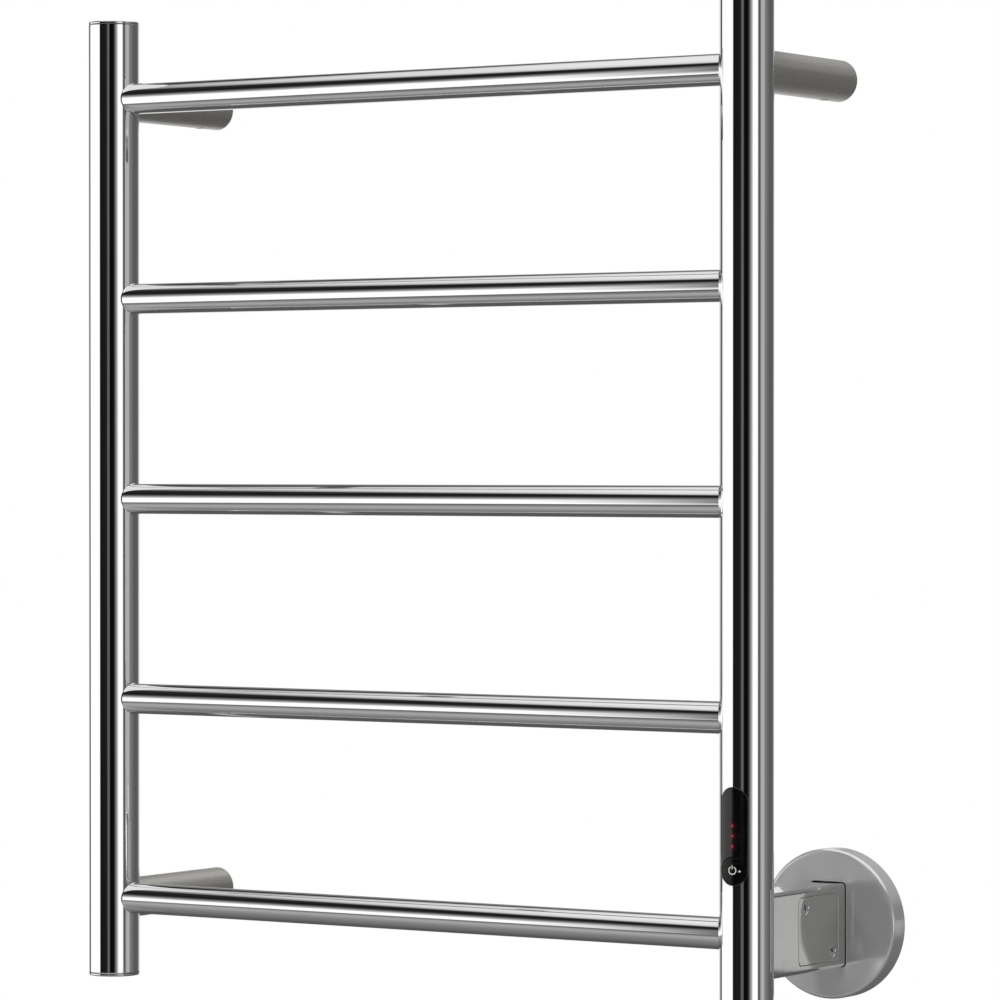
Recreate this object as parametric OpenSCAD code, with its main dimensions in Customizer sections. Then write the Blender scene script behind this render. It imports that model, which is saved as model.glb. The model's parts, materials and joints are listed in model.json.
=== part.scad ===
// Wall-hung towel warmer: two round uprights, five round bars, three round wall
// brackets and one hollow wiring arm with a wall rose. The origin is on the wall
// plane, midway between the two top wall posts: -Y is the front, +Z is up.

/* [Rack] */
// Distance between the axes of the two uprights
rack_w = 460; // [400:10:700]
// Distance between neighbouring bars
bar_pitch = 126; // [110:2:150]
// Length of the uprights beyond the end bars
overhang = 49; // [40:1:60]
// Distance from the wall to the axes of the uprights
stand_off = 112; // [105:1:125]

/* [Tubes] */
// Outer diameter of the uprights
upright_d = 32; // [31:0.5:33]
// Wall thickness of the uprights
upright_wall = 1.2; // [1:0.1:1.5]
// Outer diameter of the bars
bar_d = 19; // [19:0.5:22]
// Wall thickness of the bars
bar_wall = 1; // [0.8:0.1:1]
// Thickness of an end cap outside the tube
cap_t = 1.5; // [1.2:0.1:4]

/* [Wall brackets] */
// Outer diameter of a bracket sleeve
sleeve_d = 25; // [25:0.5:28]
// Wall thickness of a bracket sleeve
sleeve_wall = 2; // [1.8:0.1:2.2]
// Length of the post that the sleeve slides over
post_l = 40; // [34:1:46]
// Diameter of the wall screw holes
screw_hole_d = 5.5; // [4.5:0.1:6]

/* [Wiring arm] */
// Width of the arm
arm_w = 24; // [24:0.5:26]
// Height of the arm
arm_h = 50; // [50:0.5:54]
// Diameter of the wall rose
rose_d = 90; // [88:1:100]
// Depth of the wall rose
rose_t = 14; // [13:0.5:16]
// Length of the side cover
cover_l = 48; // [46:0.5:50]
// Height of the side cover
cover_h = 40; // [38:0.5:41]

/* [Control] */
// Width of the control pad
pad_w = 18.2; // [17.6:0.1:18.4]
// Length of the control pad
pad_l = 57.5; // [56:0.5:64]
// Height of the pad's lower end above the bottom bar's axis
pad_rise = 29.5; // [27:0.5:34]
// Diameter of the power button
button_d = 15.5; // [15:0.1:15.6]
// Distance between two indicator lights
led_pitch = 6; // [5:0.5:6]
// Number of indicator lights
led_count = 3; // [1:1:3]

/* [Hidden] */
$fn = 64;

chrome = [0.80, 0.81, 0.83];
satin = [0.66, 0.67, 0.69];
zinc = [0.72, 0.71, 0.68];
brass = [0.80, 0.64, 0.30];
black = [0.04, 0.04, 0.05];
rubber = [0.10, 0.10, 0.11];
silicone = [0.72, 0.20, 0.14];
board_green = [0.07, 0.30, 0.17];
white = [0.93, 0.93, 0.93];
red = [0.75, 0.05, 0.04];
eps = 0.01;

// Places of the tubes
bar_count = 5;                    // one node for each
left_x = -rack_w / 2;
right_x = rack_w / 2;
tube_y = -stand_off;
top_z = overhang;
bottom_bar_z = -(bar_count - 1) * bar_pitch;
bottom_z = bottom_bar_z - overhang;
low_fixing_z = bottom_bar_z - 1.5;  // axis of the arm and of the bottom left bracket
upright_r = upright_d / 2;
upright_in_r = upright_r - upright_wall;
bar_r = bar_d / 2;
bar_in_r = bar_r - bar_wall;
seat_y = tube_y + upright_r;      // back of an upright, where brackets and arm sit

// Fastenings shared by the brackets and the arm
bolt_r = 3;
bolt_back_y = seat_y + 6;         // face under the bolt heads
bolt_tip_y = seat_y - 5.5;
bolt_head_r = 5;
bolt_head_t = 6;
nut_r = 4.4;
nut_collar_r = 6.5;
post_r = sleeve_d / 2 - sleeve_wall - 0.1;
post_floor = 8;
grub_r = 2.5;
grub_y = -20;

// Wiring arm
arm_wall = 2.5;
arm_side_wall = 3;
arm_corner_r = 2;
arm_back_y = -3;
arm_z = low_fixing_z;
cavity_front_y = bolt_back_y;
arm_bolt_dz = 17;
entry_z = arm_z - 2;
entry_r = 7.5;
grommet_r = 8.9;
cover_y = -47;                    // middle of the side cover
cover_t = 1.4;
gasket_t = 0.4;
recess_t = 1.6;
cover_corner_r = 3;
cover_screw_dy = 16.5;
cover_screw_dz = 14;
arm_face_x = right_x + arm_w / 2;
ledge_x = arm_face_x - recess_t;
ledge_w = 4;
boss_r = 4.5;
boss_l = 4;
cover_screw_r = 1.95;
cover_head_r = 4;
cover_head_t = 1.5;

// Wall rose and plate
rose_wall = 1.5;
rose_edge_r = 2;
plate_r = rose_d / 2 - 4;
plate_t = 3;
slot_dx = 30;
slot_l = 12;
supply_hole_r = 9;
lug_w = 14;
lug_t = 3;
lug_l = 15;
lug_grub_y = -9;

// Terminals
block_w = 13;
block_l = 24;
pole_pitch = 10;
pole_dz = [-pole_pitch, 0, pole_pitch];
block_x = right_x - arm_w / 2 + arm_side_wall;
pole_x = block_x + 6;
insert_r = 3;
wire_r = 2;
clamp_dy = [-6, 6];
clamp_r = 1.5;
earth_y = -26;

// Heating cable: one serpentine through every tube
cable_r = 2.5;
bend_r = 10;
cable_y = tube_y + 4.5;
sag = 3;                          // the cable lies below each bar's axis
run_x = rack_w / 2 - 3.5;         // the turns inside the uprights
riser_x = right_x + 3;
cable_end_y = cover_y - block_l / 2 - 8;
core_r = 0.9;
seal_r = 3;
seal_l = 26;

// Control pad, in the front of the right upright
pad_proud = 0.75;
pad_z0 = bottom_bar_z + pad_rise;
pad_z1 = pad_z0 + pad_l;
plug_half_w = 8.45;
slot_half_w = 8.6;
plug_in_r = 14.6;
button_r = button_d / 2;
button_gap = 0.15;
button_z = pad_z0 + pad_w / 2;
button_crown = 0.1;               // the button stands this far out of the pad
button_back_y = tube_y - 13.6;
led_z = button_z + 13.9;
led_r = 0.95;
board_y = tube_y - 9.5;           // front face of the circuit board
board_t = 1.6;
board_w = 15;
board_h = 54;
switch_w = 6;
switch_t = 3.4;
plunger_r = 1.6;
plunger_l = 1.7;
running_gap = 0.05;
post_places = [[-4.6, 42.5], [4.6, 35]];   // board posts: sideways, and up from the button
pad_post_r = 1.8;
board_screw_r = 0.9;
symbol_depth = 0.3;

// Helpers: rods and prisms along the axes
module rod_x(r, x0, x1) { translate([x0, 0, 0]) rotate([0, 90, 0]) cylinder(r = r, h = x1 - x0); }
module rod_y(r, y0, y1) { translate([0, y1, 0]) rotate([90, 0, 0]) cylinder(r = r, h = y1 - y0); }
module rod_z(r, z0, z1) { translate([0, 0, z0]) cylinder(r = r, h = z1 - z0); }
module prism_y(y0, y1) { translate([0, y1, 0]) rotate([90, 0, 0]) linear_extrude(y1 - y0) children(); }
module prism_x(x0, x1) {
    translate([x0, 0, 0]) rotate([90, 0, 90]) linear_extrude(x1 - x0) children();
}

module rounded_rect(w, h, r) {
    square([w - 2 * r, h], center = true);
    square([w, h - 2 * r], center = true);
    for (sx = [-1, 1], sy = [-1, 1])
        translate([sx * (w / 2 - r), sy * (h / 2 - r)]) circle(r);
}

// A slot with round ends that stands upright between two heights
module stadium(half_w, z0, z1) {
    translate([-half_w, z0 + half_w]) square([2 * half_w, z1 - z0 - 2 * half_w]);
    translate([0, z0 + half_w]) circle(half_w);
    translate([0, z1 - half_w]) circle(half_w);
}

module tube(r_out, r_in, z0, z1) {
    difference() {
        rod_z(r_out, z0, z1);
        rod_z(r_in, z0 - 1, z1 + 1);
    }
}

module at_upright(side) { translate([side * rack_w / 2, tube_y, 0]) children(); }
module at_bar(i) { translate([0, tube_y, -(i - 1) * bar_pitch]) children(); }

// Every place where a bolt enters the back of an upright
bolt_places = [[left_x, 0], [right_x, 0], [left_x, low_fixing_z],
    [right_x, arm_z - arm_bolt_dz], [right_x, arm_z + arm_bolt_dz]];
sleeve_places = [[left_x, 0], [right_x, 0], [left_x, low_fixing_z]];

// Uprights and bars
module upright(side) {
    difference() {
        at_upright(side) tube(upright_r, upright_in_r, bottom_z + cap_t, top_z - cap_t);
        for (i = [1:bar_count])
            at_bar(i) if (side < 0) rod_x(bar_in_r, left_x, left_x + upright_d);
                else rod_x(bar_in_r, right_x - upright_d, right_x);
        for (p = bolt_places)
            if (p[0] * side > 0) translate([p[0], 0, p[1]]) rod_y(nut_r + 0.05, tube_y, 0);
    }
}

module left_upright() { color(chrome) upright(-1); }

module right_upright() {
    color(chrome) difference() {
        upright(1);
        translate([right_x, 0, entry_z]) rod_y(entry_r, tube_y, 0);
        translate([right_x, 0, 0]) prism_y(tube_y - upright_d, tube_y) pad_slot();
    }
}

module pad_slot() {
    margin = pad_w / 2 - slot_half_w;
    stadium(slot_half_w, pad_z0 + margin, pad_z1 - margin);
}

module bar(i) {
    color(chrome) difference() {
        at_bar(i) rod_x(bar_r, left_x, right_x);
        at_bar(i) rod_x(bar_in_r, left_x - 1, right_x + 1);
        for (side = [-1, 1]) at_upright(side) rod_z(upright_r, bottom_z, top_z);
    }
}

// End cap: a disc with an eased edge, and a spigot inside the tube
module cap(side, end_z, dir) {
    ease = 0.6;
    spigot_l = 11;
    spigot_r = upright_in_r - 0.1;
    color(chrome) at_upright(side) translate([0, 0, end_z])
        mirror([0, 0, dir > 0 ? 1 : 0]) difference() {
            union() {
                rod_z(upright_r - ease, 0, cap_t);
                rod_z(upright_r, ease, cap_t);
                translate([0, 0, ease]) rotate_extrude()
                    translate([upright_r - ease, 0]) circle(ease);
                rod_z(spigot_r, cap_t - eps, cap_t + spigot_l);
            }
            rod_z(spigot_r - 1.5, cap_t, cap_t + spigot_l + 1);
        }
}

// Wall brackets
module sleeve(x, z) {
    color(satin) difference() {
        translate([x, 0, z]) rod_y(sleeve_d / 2, tube_y, 0);
        translate([x, 0, z]) rod_y(sleeve_d / 2 - sleeve_wall, tube_y - 1, 1);
        at_upright(sign(x)) rod_z(upright_r, bottom_z, top_z);
        translate([x, grub_y, z - sleeve_d]) rod_z(grub_r + 0.05, 0, sleeve_d);
    }
}

module wall_post(x, z) {
    color(zinc) translate([x, 0, z]) difference() {
        rod_y(post_r, -post_l, 0);
        rod_y(post_r - 3, -post_l - 1, -post_floor);
        rod_y(screw_hole_d / 2, -post_floor - 1, 1);
        translate([0, grub_y, -post_r - 1]) rod_z(grub_r + 0.1, 0, 1.5);
    }
}

module sleeve_plugs() {
    color(zinc) for (p = sleeve_places) difference() {
        translate([p[0], 0, p[1]]) rod_y(post_r, tube_y, bolt_back_y);
        at_upright(sign(p[0])) rod_z(upright_r, bottom_z, top_z);
        translate([p[0], 0, p[1]]) rod_y(bolt_r + 0.2, tube_y, bolt_back_y + 1);
    }
}

module mounting_bolts() {
    socket_r = 2.9;
    color(zinc) for (p = bolt_places) translate([p[0], 0, p[1]]) difference() {
        union() {
            rod_y(bolt_r, bolt_tip_y, bolt_back_y + eps);
            rod_y(bolt_head_r, bolt_back_y, bolt_back_y + bolt_head_t);
        }
        translate([0, bolt_back_y + bolt_head_t + 1, 0]) rotate([90, 0, 0])
            cylinder(r = socket_r, h = 4, $fn = 6);
    }
}

module rivet_nuts() {
    nut_back_y = tube_y + sqrt(pow(upright_r, 2) - pow(nut_r + 0.1, 2)) - 0.1;
    collar_y = tube_y + sqrt(pow(upright_in_r, 2) - pow(nut_collar_r, 2)) - 0.2;
    color(zinc) for (p = bolt_places) translate([p[0], 0, p[1]]) difference() {
        union() {
            rod_y(nut_r, bolt_tip_y - 2, nut_back_y);
            rod_y(nut_collar_r, collar_y - 2, collar_y);
        }
        rod_y(bolt_r + 0.05, bolt_tip_y - 3, seat_y + 1);
    }
}

module grub(tip_z) {
    difference() {
        rod_z(grub_r, tip_z - 2.6, tip_z);
        translate([0, 0, tip_z - 3]) cylinder(r = 1.4, h = 2, $fn = 6);
    }
}

module grub_screws() {
    color(zinc) {
        for (p = sleeve_places) translate([p[0], grub_y, p[1]]) grub(-post_r + 0.4);
        translate([right_x, lug_grub_y, arm_z]) grub(-arm_h / 2 + arm_wall);
    }
}

// Wiring arm: a hollow box that seats on the upright and runs to the wall plate
module cover_outline(grow) { rounded_rect(cover_l + 2 * grow, cover_h + 2 * grow, cover_corner_r + grow); }

module cover_window() {
    difference() {
        rounded_rect(cover_l - 2 * ledge_w, cover_h - 2 * ledge_w, cover_corner_r);
        for (s = [-1, 1]) translate([s * cover_screw_dy, -s * cover_screw_dz]) circle(boss_r);
    }
}

// Places a shape drawn as (towards the wall, up) on the arm's side face
module on_side(x0, x1) { translate([0, cover_y, arm_z]) prism_x(x0, x1) children(); }

module cover_screw_points() {
    for (s = [-1, 1]) translate([0, cover_y + s * cover_screw_dy, arm_z - s * cover_screw_dz]) children();
}

module arm_housing() {
    cavity_w = arm_w - 2 * arm_side_wall;
    cavity_h = arm_h - 2 * arm_wall;
    color(chrome) difference() {
        union() {
            difference() {
                translate([right_x, 0, arm_z]) prism_y(tube_y, arm_back_y)
                    rounded_rect(arm_w, arm_h, arm_corner_r);
                translate([right_x, 0, arm_z]) prism_y(cavity_front_y, 0)
                    square([cavity_w, cavity_h], center = true);
            }
            cover_screw_points() rod_x(boss_r, ledge_x - boss_l, ledge_x);
        }
        at_upright(1) rod_z(upright_r, bottom_z, top_z);
        on_side(ledge_x, arm_face_x + 1) cover_outline(0.2);
        on_side(right_x, arm_face_x + 1) cover_window();
        cover_screw_points() rod_x(cover_screw_r + 0.05, ledge_x - boss_l - 1, arm_face_x);
        for (s = [-1, 1]) translate([right_x, 0, arm_z + s * arm_bolt_dz])
            rod_y(bolt_r + 0.2, tube_y, cavity_front_y + 1);
        translate([right_x, 0, entry_z]) rod_y(grommet_r, tube_y, cavity_front_y + 1);
        translate([right_x, lug_grub_y, arm_z - arm_h]) rod_z(grub_r + 0.05, 0, arm_h);
    }
}

module arm_side_cover() {
    color(chrome) difference() {
        on_side(ledge_x + gasket_t, ledge_x + gasket_t + cover_t) cover_outline(0);
        cover_screw_points() cover_head(0.05);
        cover_screw_points() rod_x(cover_screw_r + 0.2, ledge_x, arm_face_x + 1);
    }
}

module cover_gasket() {
    color(rubber) difference() {
        on_side(ledge_x, ledge_x + gasket_t) cover_outline(-0.3);
        on_side(ledge_x - 1, ledge_x + 1) cover_window();
        cover_screw_points() rod_x(cover_screw_r + 0.2, ledge_x - 1, arm_face_x + 1);
    }
}

// Countersunk head: a cone that ends level with the cover
module cover_head(grow) {
    head_x = ledge_x + gasket_t + cover_t - 0.1;
    translate([head_x - cover_head_t + 0.2, 0, 0]) rotate([0, 90, 0])
        cylinder(r1 = cover_screw_r + grow + 0.1, r2 = cover_head_r + grow, h = cover_head_t - 0.2);
}

module cover_screws() {
    head_x = ledge_x + gasket_t + cover_t - 0.1;
    color(zinc) cover_screw_points() difference() {
        union() {
            cover_head(0);
            rod_x(cover_screw_r, ledge_x - boss_l - 2, head_x - cover_head_t + 0.3);
        }
        for (a = [0, 90]) rotate([a + 20, 0, 0])
            translate([head_x - 0.9, -2.2, -0.45]) cube([2, 4.4, 0.9]);
    }
}

module cable_grommet() {
    color(rubber) translate([right_x, 0, entry_z]) difference() {
        union() {
            rod_y(grommet_r - 0.02, seat_y + 0.1, cavity_front_y + 0.1);
            rod_y(grommet_r + 0.9, cavity_front_y, cavity_front_y + 1.2);
        }
        rod_y(entry_r - 0.6, seat_y - 1, cavity_front_y + 2);
    }
}

// Wall rose, its plate and the ring that grips it
module at_rose() { translate([right_x, 0, arm_z]) children(); }

module wall_rose() {
    rose_r = rose_d / 2;
    color(chrome) at_rose() difference() {
        rotate([90, 0, 0]) rotate_extrude($fn = 128) union() {
            square([rose_r - rose_edge_r, rose_t]);
            square([rose_r, rose_t - rose_edge_r]);
            translate([rose_r - rose_edge_r, rose_t - rose_edge_r]) intersection() {
                circle(rose_edge_r);
                square(rose_edge_r);
            }
        }
        rod_y(rose_r - rose_wall, -rose_t + rose_wall, 1);
        prism_y(-rose_t - 1, 1) rounded_rect(arm_w + 0.2, arm_h + 0.2, arm_corner_r + 0.1);
    }
}

module wall_plate() {
    lug_z = arm_h / 2 - arm_wall - 0.1;
    color(zinc) at_rose() difference() {
        union() {
            rod_y(plate_r, -plate_t, 0);
            for (s = [-1, 1]) translate([-lug_w / 2, -plate_t - lug_l, s > 0 ? lug_z - lug_t : -lug_z])
                cube([lug_w, lug_l + eps, lug_t]);
        }
        rod_y(supply_hole_r, -plate_t - 1, 1);
        for (s = [-1, 1]) translate([s * slot_dx, 0, 0]) prism_y(-plate_t - 1, 1) {
            slot_r = screw_hole_d / 2;
            square([slot_l - 2 * slot_r, 2 * slot_r], center = true);
            for (e = [-1, 1]) translate([e * (slot_l / 2 - slot_r), 0]) circle(slot_r);
        }
    }
}

module rose_ring() {
    color(rubber) at_rose() difference() {
        rod_y(rose_d / 2 - rose_wall - 0.05, -plate_t + 0.2, -0.4);
        rod_y(plate_r + 0.02, -plate_t - 1, 1);
    }
}

// Terminals inside the arm
module at_pole(dz) { translate([pole_x, cover_y, arm_z + dz]) children(); }

module terminal_block() {
    block_h = 3 * pole_pitch + 2;
    color(white) difference() {
        translate([block_x + 0.05, cover_y - block_l / 2, arm_z - block_h / 2])
            cube([block_w, block_l, block_h]);
        for (dz = pole_dz) at_pole(dz) {
            rod_y(insert_r + 0.05, -block_l, block_l);
            for (dy = clamp_dy) translate([0, dy, 0]) rod_x(2.2, 0, block_w);
        }
    }
}

module terminal_inserts() {
    color(brass) for (dz = pole_dz) at_pole(dz) difference() {
        rod_y(insert_r, 1 - block_l / 2, block_l / 2 - 1);
        rod_y(wire_r, -block_l, block_l);
        for (dy = clamp_dy) translate([0, dy, 0]) rod_x(clamp_r + 0.05, 0, insert_r + 1);
    }
}

module terminal_screws() {
    screw_top = 6;
    color(zinc) for (dz = pole_dz, dy = clamp_dy) at_pole(dz) translate([0, dy, 0]) difference() {
        union() {
            rod_x(clamp_r, 1.35, screw_top);
            rod_x(2, 4, screw_top);
        }
        translate([screw_top - 0.8, -2.5, -0.35]) cube([1, 5, 0.7]);
    }
}

module earth_stud() {
    floor_z = arm_z - arm_h / 2 + arm_wall;
    color(brass) translate([right_x, earth_y, floor_z]) {
        rod_z(2, 0, 14);
        rod_z(3.6, 0, 1.2);
    }
}

module earth_nuts() {
    floor_z = arm_z - arm_h / 2 + arm_wall;
    color(brass) translate([right_x, earth_y, floor_z]) for (lift = [1.3, 6.2]) difference() {
        translate([0, 0, lift]) cylinder(r = 4, h = 3.2, $fn = 6);
        rod_z(2.05, 0, 12);
    }
}

// Heating cable. A bend is a quarter of a ring; runs are plain rods.
module quarter_bend(r_bend, r_cable) {
    rotate_extrude(angle = 90) translate([r_bend, 0]) circle(r_cable);
}

// A quarter bend in the plane of the rack, around a centre; turn picks the quarter
module rack_bend(x, z, turn) {
    translate([x, cable_y, z]) rotate([90, 0, 0]) rotate([0, 0, turn]) quarter_bend(bend_r, cable_r);
}

module heating_cable() {
    turn_x = run_x - bend_r;
    color(silicone) {
        // feed from the terminals, bend upwards, and riser to the top bar
        translate([riser_x, 0, arm_z]) rod_y(cable_r, cable_y + bend_r, cable_end_y);
        translate([riser_x, cable_y + bend_r, arm_z + bend_r]) rotate([90, 0, -90])
            rotate([0, 0, -90]) quarter_bend(bend_r, cable_r);
        translate([riser_x, cable_y, 0]) rod_z(cable_r, arm_z + bend_r, -sag - bend_r);
        rack_bend(riser_x - bend_r, -sag - bend_r, 0);
        for (i = [1:bar_count]) {
            z = -(i - 1) * bar_pitch - sag;
            x_hi = i == 1 ? riser_x - bend_r : turn_x;
            x_lo = i == bar_count ? -turn_x + 30 : -turn_x;
            translate([0, cable_y, z]) rod_x(cable_r, x_lo, x_hi);
        }
        // turns from one bar down to the next, left and right by turns
        for (i = [1:bar_count - 1]) {
            side = i % 2 == 1 ? -1 : 1;
            z_up = -(i - 1) * bar_pitch - sag;
            z_dn = z_up - bar_pitch;
            translate([side * run_x, cable_y, 0]) rod_z(cable_r, z_dn + bend_r, z_up - bend_r);
            rack_bend(side * turn_x, z_up - bend_r, side > 0 ? 0 : 90);
            rack_bend(side * turn_x, z_dn + bend_r, side > 0 ? 270 : 180);
        }
    }
}

// A round strand between two points
module strand(p, q, r) {
    d = q - p;
    flat = norm([d.x, d.y]);
    translate(p) rotate([0, atan2(flat, d.z), atan2(d.y, d.x)]) cylinder(r = r, h = norm(d), $fn = 24);
}

// The two cores of the heating cable part to ferrules in the upper two terminals
module cable_cores() {
    ferrule_r = 1.3;
    ferrule_y = cover_y - block_l / 2 - 2;
    color(silicone) for (s = [-1, 1]) {
        from = [riser_x, cable_end_y + 1, arm_z + s * 1.2];
        to = [pole_x, ferrule_y, arm_z + (s > 0 ? pole_pitch : 0)];
        strand(from, to, core_r);
        translate([to.x, 0, to.z]) rod_y(ferrule_r, ferrule_y - 0.8, ferrule_y + 10);
    }
}

module cable_end_seal() {
    end_x = -(run_x - bend_r) + 30;
    color(rubber) translate([0, cable_y, bottom_bar_z - sag]) difference() {
        rod_x(seal_r, end_x - seal_l + 8, end_x + 8);
        rod_x(cable_r + 0.02, end_x - eps, end_x + 9);
    }
}

module thermal_fuse() {
    fuse_y = cavity_front_y + bolt_head_t + 12;
    color(white) translate([right_x - 4, fuse_y, arm_z + 6]) {
        rod_y(2, -8, 8);
        rod_y(0.6, -11, 11);
    }
}

module control_lead() {
    lead_r = 1.5;
    lead_bend = 6;
    lead_x = right_x - 1;
    lead_z = entry_z - 4.5;
    lead_y = tube_y - 4;
    color(rubber) {
        translate([lead_x, 0, lead_z]) rod_y(lead_r, lead_y + lead_bend - eps, cover_y - block_l / 2 - 2);
        translate([lead_x, lead_y + lead_bend, lead_z + lead_bend]) rotate([90, 0, -90])
            rotate([0, 0, -90]) quarter_bend(lead_bend, lead_r);
        translate([lead_x, lead_y, 0]) rod_z(lead_r, lead_z + lead_bend - eps, pad_z0 + 5);
        translate([lead_x, 0, pad_z0 + 5]) rod_y(lead_r, lead_y - 1, lead_y + 1.5);
    }
}

// Control pad and what is behind it
module pad_band(r_in, r_out) { at_upright(1) tube(r_out, r_in, pad_z0 - 2, pad_z1 + 2); }

module pad_prism() { translate([right_x, 0, 0]) prism_y(tube_y - upright_d, tube_y - 6) children(); }

module board_post_places() {
    for (p = post_places) translate([right_x + p[0], 0, button_z + p[1]]) children();
}

module led_places() {
    for (i = [0:led_count - 1]) translate([right_x, 0, led_z + i * led_pitch]) children();
}

module control_pad() {
    margin = pad_w / 2 - plug_half_w;
    color(black) difference() {
        union() {
            intersection() {
                pad_band(upright_r + 0.02, upright_r + pad_proud);
                pad_prism() stadium(pad_w / 2, pad_z0, pad_z1);
            }
            intersection() {
                pad_band(plug_in_r, upright_r + 0.1);
                pad_prism() stadium(plug_half_w, pad_z0 + margin, pad_z1 - margin);
            }
            board_post_places() rod_y(pad_post_r, tube_y - upright_r + 1, board_y - 0.02);
        }
        translate([right_x, 0, button_z]) rod_y(button_r + button_gap, tube_y - upright_d, tube_y);
        led_places() rod_y(led_r + 0.05, tube_y - upright_d, tube_y - 10);
        board_post_places() rod_y(board_screw_r + 0.05, tube_y - upright_r + 2, board_y + 1);
    }
}

module control_board() {
    color(board_green) difference() {
        translate([right_x - board_w / 2, board_y, (pad_z0 + pad_z1 - board_h) / 2])
            cube([board_w, board_t, board_h]);
        board_post_places() rod_y(board_screw_r + 0.15, board_y - 1, board_y + board_t + 1);
    }
}

module board_screws() {
    color(zinc) board_post_places() {
        rod_y(board_screw_r, board_y - 3, board_y + board_t + eps);
        rod_y(1.8, board_y + board_t, board_y + board_t + 1.1);
    }
}

module indicator_leds() {
    lens_y = tube_y - upright_r - pad_proud;
    color(red) led_places() {
        rod_y(led_r, lens_y + 0.1, board_y - 0.02);
        rod_y(1.4, board_y - 1.2, board_y - 0.02);
    }
}

module tact_switch() {
    color(black) difference() {
        translate([right_x - switch_w / 2, board_y - switch_t, button_z - switch_w / 2])
            cube([switch_w, switch_t - 0.02, switch_w]);
        translate([right_x, 0, button_z]) rod_y(plunger_r + running_gap, tube_y - upright_r, board_y - 0.8);
    }
}

module switch_plunger() {
    color(white) translate([right_x, 0, button_z])
        rod_y(plunger_r, button_back_y + 0.02, button_back_y + plunger_l);
}

// Power symbol: an open ring with a stroke, and one small dot beside it
module symbol_outline() {
    difference() {
        circle(2.5);
        circle(1.9);
        translate([-0.75, 0]) square([1.5, 4]);
    }
    translate([-0.3, 0.6]) square([0.6, 2.4]);
    translate([4.3, -0.4]) circle(0.55);
}

module symbol_band(grow) {
    intersection() {
        pad_band(upright_r + pad_proud + button_crown - symbol_depth, upright_r + pad_proud + button_crown + grow);
        translate([right_x, 0, button_z]) prism_y(tube_y - upright_d, tube_y - 6) symbol_outline();
    }
}

module power_button() {
    color(black) difference() {
        intersection() {
            at_upright(1) rod_z(upright_r + pad_proud + button_crown, pad_z0 - 2, pad_z1);
            translate([right_x, 0, button_z]) rod_y(button_r, tube_y - upright_d, button_back_y);
        }
        symbol_band(1);
    }
}

module button_markings() { color(white) symbol_band(0); }

left_upright();
right_upright();
bar(1);  // bar_1
bar(2);  // bar_2
bar(3);  // bar_3
bar(4);  // bar_4
bar(5);  // bar_5
cap(-1, top_z, 1);  // left_top_cap
cap(-1, bottom_z, -1);  // left_bottom_cap
cap(1, top_z, 1);  // right_top_cap
cap(1, bottom_z, -1);  // right_bottom_cap
sleeve(left_x, 0);  // top_left_sleeve
sleeve(right_x, 0);  // top_right_sleeve
sleeve(left_x, low_fixing_z);  // bottom_left_sleeve
wall_post(left_x, 0);  // top_left_wall_post
wall_post(right_x, 0);  // top_right_wall_post
wall_post(left_x, low_fixing_z);  // bottom_left_wall_post
sleeve_plugs();
mounting_bolts();
rivet_nuts();
grub_screws();
arm_housing();
arm_side_cover();
cover_gasket();
cover_screws();
cable_grommet();
wall_rose();
wall_plate();
rose_ring();
terminal_block();
terminal_inserts();
terminal_screws();
earth_stud();
earth_nuts();
heating_cable();
cable_cores();
cable_end_seal();
thermal_fuse();
control_lead();
control_pad();
control_board();
board_screws();
indicator_leds();
tact_switch();
switch_plunger();
power_button();
button_markings();
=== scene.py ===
import bpy
import bmesh
import json
import numpy as np
from math import radians, pi, sin, cos
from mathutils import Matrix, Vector


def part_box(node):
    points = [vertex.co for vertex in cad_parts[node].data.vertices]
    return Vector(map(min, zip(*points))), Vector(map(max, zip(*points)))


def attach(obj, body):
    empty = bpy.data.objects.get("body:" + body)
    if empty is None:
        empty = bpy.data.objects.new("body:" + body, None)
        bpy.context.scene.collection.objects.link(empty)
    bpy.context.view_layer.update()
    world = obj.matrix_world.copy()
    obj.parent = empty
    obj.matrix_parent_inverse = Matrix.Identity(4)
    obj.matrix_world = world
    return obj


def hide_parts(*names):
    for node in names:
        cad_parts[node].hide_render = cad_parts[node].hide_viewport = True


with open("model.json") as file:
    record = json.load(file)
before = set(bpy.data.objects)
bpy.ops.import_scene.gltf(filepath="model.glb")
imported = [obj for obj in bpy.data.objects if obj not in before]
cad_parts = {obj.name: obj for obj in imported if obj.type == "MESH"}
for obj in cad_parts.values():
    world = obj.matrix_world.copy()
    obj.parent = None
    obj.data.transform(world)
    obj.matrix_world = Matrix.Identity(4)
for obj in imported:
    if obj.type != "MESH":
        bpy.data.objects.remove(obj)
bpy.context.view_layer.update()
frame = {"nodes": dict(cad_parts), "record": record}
mm = 0.001
print("frame loaded:", len(frame["nodes"]), "nodes")

leftLow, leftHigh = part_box("left_upright")
rightLow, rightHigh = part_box("right_upright")
uprightRadius = (rightHigh.x - rightLow.x) / 2
uprightY = (rightHigh.y + rightLow.y) / 2
leftX = (leftHigh.x + leftLow.x) / 2
rightX = (rightHigh.x + rightLow.x) / 2
rackMidZ = (rightHigh.z + rightLow.z) / 2
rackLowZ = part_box("right_bottom_cap")[0].z


cameraLook = {
    "yaw": 32.56,         # degrees round the object, towards its right end
    "tilt": 0.440,        # degrees the lens looks down
    "distance": 2.957,    # metres from the middle of the rack, along the view
    "aside": 0.0503,      # metres the lens sits right of the rack's middle
    "above": 0.0229,      # metres the lens sits above the rack's middle
    "lens": 175.3,        # millimetres
    "sensor": 36,         # millimetres
    "reach": 50,          # metres to the far clipping plane
}


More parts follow.
